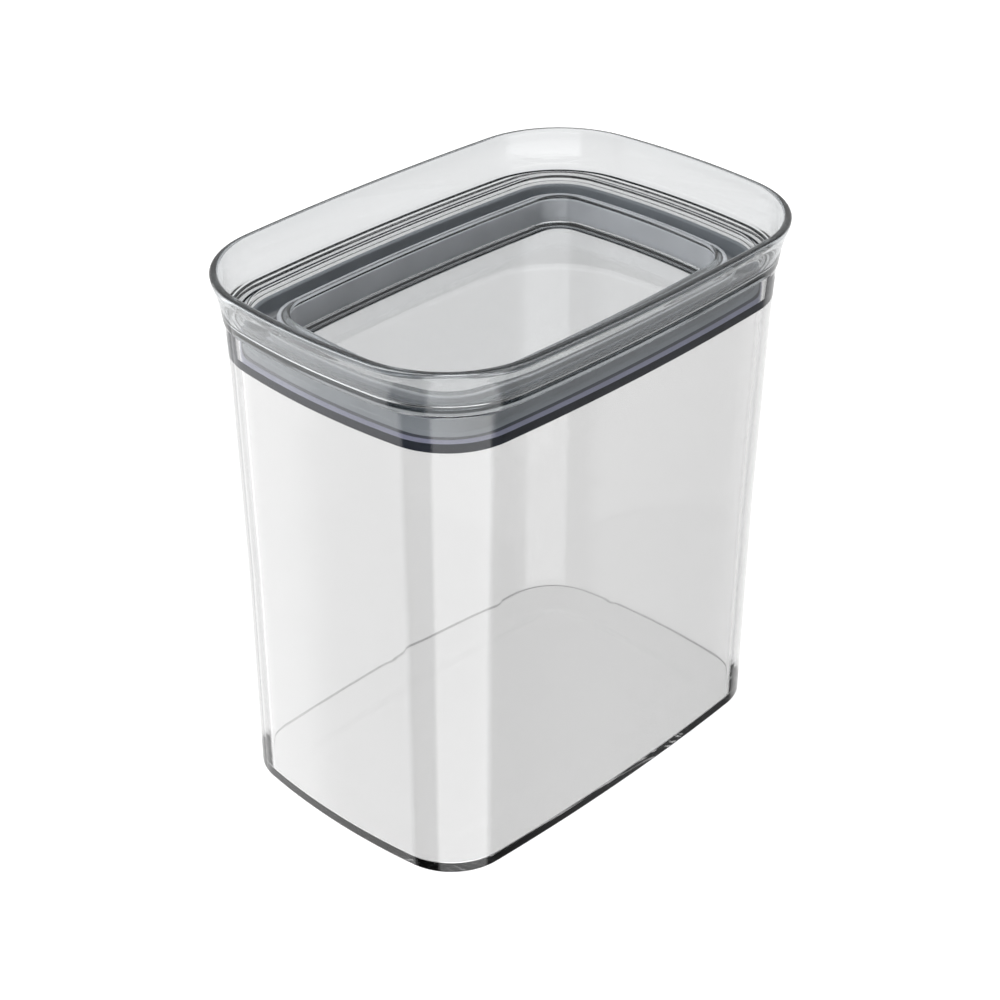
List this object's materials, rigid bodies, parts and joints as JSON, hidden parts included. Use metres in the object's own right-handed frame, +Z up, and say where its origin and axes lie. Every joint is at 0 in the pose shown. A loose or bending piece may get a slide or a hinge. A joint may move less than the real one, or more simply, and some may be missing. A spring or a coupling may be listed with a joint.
{
  "type": "storage container",
  "caption": "Clear rounded rectangular food storage canister with a smoke-tinted press-on lid and a grey silicone seal.",
  "frame": {"origin": "middle of the tub's foot, on the surface the container stands on", "axes": "+Z up, the way the lid lifts off; X along the long sides; Y along the short sides"},
  "size_m": [0.16, 0.1112, 0.1627],
  "materials": {
    "clear_plastic": "clear, polished, glossy",
    "smoke_plastic": "clear smoke tint, polished, glossy",
    "slate_silicone": "matt slate silicone"
  },
  "bodies": {
    "container": {"container_body": "clear_plastic"},
    "lid": {"lid": "smoke_plastic", "seal_gasket": "slate_silicone"}
  },
  "joints": [
    {"name": "lid_lift", "type": "slide", "parent": "container", "child": "lid", "axis": [0, 0, 1], "range_m": [0, 0.06]}
  ]
}
